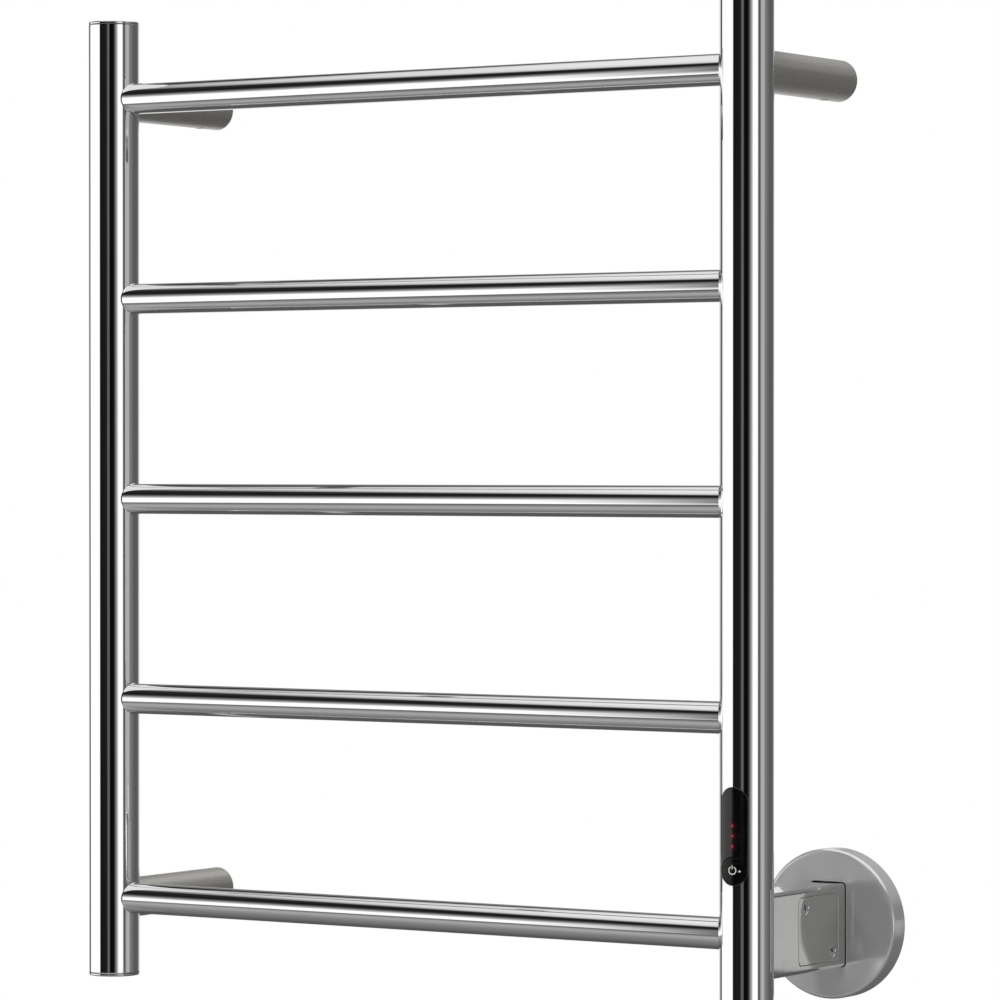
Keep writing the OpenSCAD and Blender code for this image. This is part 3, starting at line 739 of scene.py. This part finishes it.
def makeArm():
    # a rounded rectangle carried from the upright to the wall plate, its front end coped round the tube
    look = armLook
    outline = roundedRect(armHigh.x - armLow.x, armHigh.z - armLow.z, look["corner"])
    front = uprightY + np.sqrt(uprightRadius ** 2 - outline[:, 0] ** 2) - 0.1 * mm
    rows = [np.stack([armX + outline[:, 0], y, armZ + outline[:, 1]], axis=1)
            for y in (front, np.full(len(outline), armHigh.y))]
    arm = plainSolid("armHousingShell", np.array(rows))
    gap = look["gap"]
    width, height = coverHigh.y - coverLow.y + 2 * gap, coverHigh.z - coverLow.z + 2 * gap
    cut = plainSolid("recessCut", np.array([sideOutline(width, height, look["coverCorner"] + gap, x)
                                            for x in (armHigh.x - look["recess"], armHigh.x + 2 * mm)]))
    cutBy(arm, [cut])
    handOver(arm, finish["arm"], "rack", 30, 0.18 * mm)
    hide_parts("arm_housing")


def screwCentres():
    look = armLook
    return [(coverY + s * look["screwAside"], armZ - s * look["screwRise"]) for s in (-1, 1)]


def makeCover():
    # a plate with an eased edge, and two cone-shaped seats for the screws
    look = armLook
    width, height = coverHigh.y - coverLow.y, coverHigh.z - coverLow.z
    edge, corner = look["coverEdge"], look["coverCorner"]
    rows = [sideOutline(width, height, corner, coverLow.x)]
    for angle in np.radians(np.linspace(0, 90, 5)):
        inset = edge * (1 - cos(angle))
        rows.append(sideOutline(width - 2 * inset, height - 2 * inset, corner - inset,
                                coverHigh.x - edge * (1 - sin(angle))))
    cover = plainSolid("armCoverPlate", np.array(rows))
    cutters = []
    for y, z in screwCentres():
        cone = [(look["headRadius"] + 0.15 * mm + 0.5 * mm, coverHigh.x + 0.5 * mm),
                (look["headRadius"] - 0.75 * mm, coverHigh.x - 0.9 * mm)]
        cutters.append(plainSolid("seatCut", turned(cone, 64, "x", (0, y, z))))
    cutBy(cover, cutters)
    handOver(cover, finish["arm"], "rack", 30)
    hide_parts("arm_side_cover")


def crossDepth(u, v):
    # how deep the head is sunk at (u, v): two crossed bars with soft edges
    look = armLook

    def within(value, half):
        return 1 / (1 + np.exp((np.abs(value) - half) / look["crossSoftness"] * 4))

    half, reach = look["crossHalf"], look["crossReach"]
    bars = within(u, half) * within(v, reach), within(v, half) * within(u, reach)
    return look["crossDepth"] * np.maximum(*bars)


def makeCoverScrews():
    # flat heads: a disc on a polar grid, sunk along a cross, with a skirt and a back
    look = armLook
    count, size, face = look["headSegments"], look["headRadius"], coverHigh.x
    turns = np.linspace(0, 2 * pi, count, endpoint=False)
    radii = np.concatenate([np.linspace(0, 0.72, 40), [0.85, 0.93, 0.97, 1.0]]) * size
    r, a = np.meshgrid(radii, turns, indexing="ij")
    u, v = r * np.cos(a), r * np.sin(a)
    top = face - look["headSunk"] - crossDepth(u, v) - np.where(r > 0.96 * size, look["headEase"], 0)
    for index, (y, z) in enumerate(screwCentres()):
        lean = radians(25 + 40 * index)
        across, up = u * cos(lean) - v * sin(lean), u * sin(lean) + v * cos(lean)
        disc = np.stack([top, y + across, z + up], axis=-1)
        back = [turned([(radius, face - look["headThick"])], count, "x", (0, y, z))[0]
                for radius in (size - look["headTaper"], 0.0)]
        piece = gridPiece(f"coverScrew{index + 1}", np.concatenate([disc, np.array(back)]), finish["screw"],
                          "rack", closeAlong=False, sharp=70)
        if index == 0:
            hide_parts("cover_screws")


makeArm()
makeCover()
makeCoverScrews()
print("arm, cover and screws made")


roseLook = {"edge": 2.0 * mm, "wall": 1.5 * mm, "gap": 0.5 * mm, "lip": 0.35 * mm, "segments": 384}


def boxReach(turns, halfWide, halfHigh, corner):
    # distance from the middle of a rounded rectangle to its outline, along each turn
    c, s = np.maximum(np.abs(np.cos(turns)), 1e-9), np.maximum(np.abs(np.sin(turns)), 1e-9)
    onSide, onTop = halfWide / c, halfHigh / s
    cx, cz = halfWide - corner, halfHigh - corner
    along = cx * c + cz * s
    onCorner = along + np.sqrt(np.maximum(along ** 2 - cx ** 2 - cz ** 2 + corner ** 2, 0))
    return np.where(onSide * s <= cz, onSide, np.where(onTop * c <= cx, onTop, onCorner))


def makeRose():
    # a dish round the arm: flat front with an eased opening, rounded front edge, rim back to the wall
    look = roseLook
    low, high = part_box("wall_rose")
    centreX, radius, e, w = (low.x + high.x) / 2, (high.x - low.x) / 2, look["edge"], look["wall"]
    turns = np.linspace(0, 2 * pi, look["segments"], endpoint=False)

    def hole(grow):
        grow += look["gap"]
        return boxReach(turns, (armHigh.x - armLow.x) / 2 + grow, (armHigh.z - armLow.z) / 2 + grow,
                        armLook["corner"] + grow)

    lip = look["lip"]
    rows = [(hole(0), low.y + w), (hole(0), low.y + lip), (hole(0.3 * lip), low.y + 0.3 * lip),
            (hole(lip), low.y), (radius - 3 * e, low.y), (radius - 1.2 * e, low.y)]
    rows += [tuple(p) for p in arcPoints((radius - e, low.y + e), e, -90, 0, 14)]
    rows += [(radius, high.y - 3 * mm), (radius, high.y - 0.3 * mm), (radius - 0.3 * mm, high.y),
             (radius - w, high.y), (radius - w, low.y + w)]
    points = np.array([np.stack([centreX + r * np.cos(turns), np.full(len(turns), y),
                                 armZ + r * np.sin(turns)], axis=1) for r, y in rows])
    piece = gridPiece("wallRoseDish", points, finish["rose"], "rack", sharp=40)
    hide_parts("wall_rose")


makeRose()
print("rose made")


padShape = {"edge": 0.55 * mm, "inner": 1.1 * mm, "gap": 0.16 * mm, "arcSteps": 120,
            "sideSteps": 88, "innerShare": 0.93}
padLow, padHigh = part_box("control_pad")
buttonLow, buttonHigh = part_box("power_button")
buttonRadius = (buttonHigh.z - buttonLow.z) / 2
buttonZ = (buttonHigh.z + buttonLow.z) / 2
padProud = uprightY - uprightRadius - padLow.y
buttonProud = uprightY - uprightRadius - buttonLow.y


def ontoTube(across, up, proud):
    # wraps (across, up) onto the front of the right upright, standing proud by that much
    radius = uprightRadius + proud
    turn = np.arcsin(np.clip(across / uprightRadius, -1, 1))
    return np.stack([rightX + radius * np.sin(turn), uprightY - radius * np.cos(turn), up], axis=-1)


def makePad():
    # lines from the button hole out to the stadium's edge; height is a quarter round near the edge
    look = padShape
    halfWidth = (padHigh.x - padLow.x) / 2 * uprightRadius / (uprightRadius + padProud)
    z0, z1 = padLow.z + halfWidth, padHigh.z - halfWidth
    sides = look["sideSteps"]
    straight = np.linspace(z0, z1, sides + 2)[1:-1]
    lowArc = arcPoints((0, z0), halfWidth, 180, 360, look["arcSteps"])
    highArc = arcPoints((0, z1), halfWidth, 0, 180, look["arcSteps"])
    edge = np.vstack([lowArc, np.stack([np.full(sides, halfWidth), straight], axis=1), highArc,
                      np.stack([np.full(sides, -halfWidth), straight[::-1]], axis=1)])
    way = edge - [0, buttonZ]
    length = np.linalg.norm(way, axis=1, keepdims=True)
    hole = [0, buttonZ] + way / length * (buttonRadius + look["gap"])
    span = np.linalg.norm(edge - hole, axis=1, keepdims=True)
    inward = np.concatenate([np.linspace(0, 1, 10) ** 2 * look["edge"], [look["edge"] * 1.3]])
    inward = np.minimum(inward, 0.7 * mm)
    rows = []
    for deep in inward:                                   # quarter round by the edge
        share = np.minimum(deep / span, 0.98)
        flat = edge + (hole - edge) * share
        d = min(deep / look["edge"], 1)
        rows.append(ontoTube(flat[:, 0], flat[:, 1], padProud * np.sqrt(1 - (1 - d) ** 2) + 0.02 * mm))
    start = np.minimum(inward[-1] / span, 0.98)
    for share in np.linspace(0, 1, 24)[1:]:
        flat = edge + (hole - edge) * (start + (1 - start) * share)
        rows.append(ontoTube(flat[:, 0], flat[:, 1], padProud))
    rows.append(ontoTube(hole[:, 0], hole[:, 1], -look["inner"]))
    rows.append(ontoTube(edge[:, 0] * look["innerShare"], z0 + (edge[:, 1] - z0) * 0.99, -look["inner"]))
    piece = gridPiece("controlPadGloss", np.array(rows), finish["pad"], "rack", sharp=50)
    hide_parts("control_pad")


def makeButton():
    # a disc wrapped onto the tube: polar grid, quarter-round edge, skirt back into the hole
    radii = np.concatenate([np.linspace(0, 0.9, 18), np.linspace(0.9, 1, 9)[1:]]) * buttonRadius
    turns = np.linspace(0, 2 * pi, 160, endpoint=False)
    ease = 0.5 * mm
    rows = []
    for r in radii:
        d = min((buttonRadius - r) / ease, 1)
        proud = buttonProud - ease * (1 - np.sqrt(1 - (1 - d) ** 2))
        rows.append(ontoTube(r * np.cos(turns), buttonZ + r * np.sin(turns), proud))
    for r in (buttonRadius, 0.0):
        back = np.stack([rightX + r * np.cos(turns), np.full(160, buttonHigh.y),
                         buttonZ + r * np.sin(turns)], axis=-1)
        rows.append(back)
    piece = gridPiece("powerButtonCap", np.array(rows), finish["button"], "button",
                      closeAlong=False, sharp=50)
    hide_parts("power_button")


def inkStroke(name, path, width, proud):
    # a thin strip along a path on the button: rectangle section, both ends closed
    path = np.asarray(path, float)
    along = np.gradient(path, axis=0)
    along /= np.linalg.norm(along, axis=1, keepdims=True)
    side = np.stack([-along[:, 1], along[:, 0]], axis=1) * width / 2
    low, high = buttonProud - 0.15 * mm, buttonProud + proud
    rows = [ontoTube((path + s * side)[:, 0], (path + s * side)[:, 1], h)
            for s, h in ((-1, low), (-1, high), (0, high), (1, high), (1, low), (0, low))]
    points = np.array(rows).transpose(1, 0, 2)
    first, last = points[:1].mean(axis=1, keepdims=True), points[-1:].mean(axis=1, keepdims=True)
    points = np.concatenate([np.repeat(first, 6, axis=1), points, np.repeat(last, 6, axis=1)])
    return gridPiece(name, points, finish["mark"], "button", closeAlong=False, sharp=40)


def makeSymbol():
    # generic power sign: an open ring and a stroke, and a dot beside it
    ring = arcPoints((0, buttonZ), 2.2 * mm, 90 + 28, 90 + 332, 48)
    piece = inkStroke("powerRing", ring, 0.62 * mm, 0.02 * mm)
    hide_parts("button_markings")
    stroke = np.stack([np.zeros(8), buttonZ + np.linspace(0.7, 3.1, 8) * mm], axis=1)
    inkStroke("powerStroke", stroke, 0.6 * mm, 0.02 * mm)
    turns = np.linspace(0, 2 * pi, 24, endpoint=False)
    rows = [ontoTube(4.3 * mm + r * np.cos(turns), buttonZ - 0.4 * mm + r * np.sin(turns), h)
            for r, h in ((0, buttonProud + 0.03 * mm), (0.42 * mm, buttonProud + 0.03 * mm),
                         (0.62 * mm, buttonProud + 0.02 * mm), (0.68 * mm, buttonProud - 0.15 * mm),
                         (0, buttonProud - 0.15 * mm))]
    gridPiece("statusDot", np.array(rows), finish["mark"], "button", closeAlong=False,
              sharp=40)


def makeLamps():
    # low domes on the pad: a shallow cap of a sphere over each lamp
    turns = np.linspace(0, 2 * pi, 40, endpoint=False)
    radius = 0.85 * mm
    for index, centre in enumerate(ledCentres()):
        rows = []
        for share in np.linspace(0, 1, 9):
            rise = 0.05 * mm * (1 - share ** 2)
            r = radius * share
            rows.append(ontoTube(r * np.cos(turns), centre.z + r * np.sin(turns), padProud + rise))
        for r in (radius, 0):
            rows.append(ontoTube(r * np.cos(turns), centre.z + r * np.sin(turns), padProud - 0.4 * mm))
        piece = gridPiece(f"indicatorLamp{index + 1}", np.array(rows), finish["lamp"], "rack",
                          closeAlong=False, sharp=50)
        if index == 0:
            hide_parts("indicator_leds")


makePad()
makeButton()
makeSymbol()
makeLamps()
print("control made")


studioLook = {"floorDrop": 0.2, "floorRadius": 1.5, "floorSides": 96, "backTone": 0.22,
              "backSide": (0.0, 0.15), "backRise": (0.12, 0.30), "ceilingRise": (0.55, 0.62),
              "lowestRise": 0.05, "floorSeen": 0.85}
# brightness round the horizon, by azimuth in degrees from the front (-Y) towards the right (+X)
horizon = [(-180, 0.5), (-150, 0.8), (-116, 0.75), (-112, 0.03), (-100, 0.03), (-95, 1.1), (-31.8, 1.1),
           (-29.8, 0.008), (4, 0.012), (8, 0.12), (15, 0.12), (18.5, 0.003), (34, 0.004), (40, 0.05),
           (46, 0.25), (52, 0.5), (57, 1.1), (75, 1.1), (80, 0.09), (87, 0.10), (93, 0.42), (107, 0.48),
           (111, 0.24), (128, 0.15), (145, 0.10), (180, 0.13)]
# share of the horizon's brightness left at each height, by the sine of the elevation
fadeUp = [(0.10, 1.0), (0.16, 0.55), (0.27, 0.28), (0.36, 0.10), (0.45, 0.02), (0.55, 0.008)]
# brightness of the ceiling, by sideways distance over height, from -1 to 0
ceilingTone = [(0.19, 0.02), (0.244, 0.30), (0.28, 0.56), (0.30, 0.69), (0.39, 0.86)]
# painted pool of light on the floor, seen only in reflections: brightness from 1.5 m in front of the wall
# (0) to the wall (1)
paintedFloorPool = [(0.267, 0.10), (0.467, 0.20), (0.60, 0.36), (0.70, 0.36), (0.833, 0.20), (1.0, 0.07)]


def makeStudio():
    # a white room seen only in reflections: tall soft panels and dark flags round the horizon, fading
    # upwards to an even tone behind, and a wide soft light overhead that fades in from the left
    look = studioLook
    world = bpy.data.worlds.new("studio")
    bpy.context.scene.world = world
    world.use_nodes = True
    tree = world.node_tree
    tree.nodes.clear()
    out = addNode(tree, "ShaderNodeOutputWorld")
    direction = addNode(tree, "ShaderNodeTexCoord").outputs["Generated"]
    split = addNode(tree, "ShaderNodeSeparateXYZ")
    tree.links.new(direction, split.inputs[0])
    x, y, z = split.outputs
    azimuth = mathNode(tree, "ARCTAN2", x, mathNode(tree, "MULTIPLY", y, -1.0))
    turnShare = mathNode(tree, "ADD", mathNode(tree, "MULTIPLY", azimuth, 1 / (2 * pi)), 0.5)
    level = rampNode(tree, turnShare, [((a + 180) / 360, v) for a, v in horizon])
    fade = rampNode(tree, z, fadeUp)
    upright = mixNode(tree, 1, level, fade, "MULTIPLY")
    across = mathNode(tree, "DIVIDE", x, mathNode(tree, "MAXIMUM", z, look["lowestRise"]))
    ceiling = rampNode(tree, mathNode(tree, "ADD", across, 1.0), ceilingTone)
    sideways, upwards = stepNode(tree, y, *look["backSide"]), stepNode(tree, z, *look["backRise"])
    behind = mathNode(tree, "MULTIPLY", sideways, upwards)
    rear = mixNode(tree, behind, upright, (look["backTone"],) * 3)
    mix = mixNode(tree, stepNode(tree, z, *look["ceilingRise"]), rear, ceiling)
    room = addNode(tree, "ShaderNodeBackground")
    tree.links.new(mix, room.inputs["Color"])
    plain = addNode(tree, "ShaderNodeBackground")
    plain.inputs["Color"].default_value = (1, 1, 1, 1)
    choose = addNode(tree, "ShaderNodeMixShader")
    tree.links.new(addNode(tree, "ShaderNodeLightPath").outputs["Is Camera Ray"], choose.inputs[0])
    tree.links.new(room.outputs[0], choose.inputs[1])
    tree.links.new(plain.outputs[0], choose.inputs[2])
    tree.links.new(choose.outputs[0], out.inputs[0])
    bpy.context.scene.view_settings.view_transform = "Standard"


def flatSheet(name, corners):
    mesh = bpy.data.meshes.new(name)
    mesh.from_pydata([tuple(c) for c in corners], [], [tuple(range(len(corners)))])
    sheet = bpy.data.objects.new(name, mesh)
    bpy.context.collection.objects.link(sheet)
    return sheet


def makeFloor():
    # a plain pale disc: radius and turn give the grid; reflections see a painted pool of light on it, darker
    # towards the wall
    look = studioLook
    sides = look["floorSides"]
    turns = np.linspace(0, 2 * pi, sides, endpoint=False)
    z = rackLowZ - look["floorDrop"]
    rows = [np.stack([r * np.cos(turns), uprightY + r * np.sin(turns), np.full(sides, z)], axis=-1)
            for r in np.linspace(0.001, look["floorRadius"], 12)]
    vertices, faces = gridFaces(np.array(rows))
    mesh = bpy.data.meshes.new("paleFloor")
    mesh.from_pydata(vertices, [], faces)
    floor = bpy.data.objects.new("paleFloor", mesh)
    bpy.context.collection.objects.link(floor)
    material, tree, shader, place = startMaterial("paleFloor", (0.03, 0.03, 0.03))
    grain = placeGroup(tree, grainGroup, place, Scale=30.0, Base=0.85, Amount=0.05)
    tree.links.new(grain.outputs["Value"], shader.inputs["Roughness"])
    split = addNode(tree, "ShaderNodeSeparateXYZ")
    tree.links.new(place, split.inputs[0])
    share = mathNode(tree, "ADD", mathNode(tree, "DIVIDE", split.outputs["Y"], look["floorRadius"]), 1.0)
    seen = addNode(tree, "ShaderNodeLightPath").outputs["Is Camera Ray"]
    # camera rays see an even pale tone; other rays see the painted pool of light
    bright = mixNode(tree, seen, rampNode(tree, share, paintedFloorPool), (look["floorSeen"],) * 3)
    tree.links.new(bright, shader.inputs["Emission Color"])
    shader.inputs["Emission Strength"].default_value = 1.0
    shader.inputs["Specular IOR Level"].default_value = 0.1
    mesh.materials.append(material)


fillCard = {"from": (0.36, 0.16), "to": (0.39, 0.147), "low": -0.556, "high": -0.503, "tone": 0.42}


def makeFillCard():
    # a small upright card beside the wiring arm, there only to be mirrored in its side
    look = fillCard
    (x0, y0), (x1, y1) = look["from"], look["to"]
    card = flatSheet("armFillCard", [(x0, y0, look["low"]), (x1, y1, look["low"]),
                                     (x1, y1, look["high"]), (x0, y0, look["high"])])
    material, tree, shader, place = startMaterial("armFillCard", (0.02, 0.02, 0.02))
    grain = placeGroup(tree, grainGroup, place, Scale=8.0, Base=look["tone"], Amount=0.12)
    tree.links.new(grain.outputs["Value"], shader.inputs["Emission Color"])
    shader.inputs["Emission Strength"].default_value = 1.0
    card.data.materials.append(material)
    card.visible_camera = False
    card.visible_diffuse = False
    card.visible_shadow = False


overheadLook = {"place": (-0.1, -0.9, 1.1), "size": 1.2, "power": 18.0}


def makeOverheadLight():
    # one wide soft light above and in front, for the matt surfaces only
    look = overheadLook
    data = bpy.data.lights.new("overheadLight", "AREA")
    data.size, data.energy = look["size"], look["power"]
    lamp = bpy.data.objects.new("overheadLight", data)
    lamp.location = look["place"]
    aim = Vector((0, uprightY, rackMidZ)) - lamp.location
    lamp.rotation_euler = aim.to_track_quat("-Z", "Y").to_euler()
    lamp.visible_glossy = False
    bpy.context.collection.objects.link(lamp)


makeStudio()
makeFloor()
makeFillCard()
makeOverheadLight()
print("studio made")
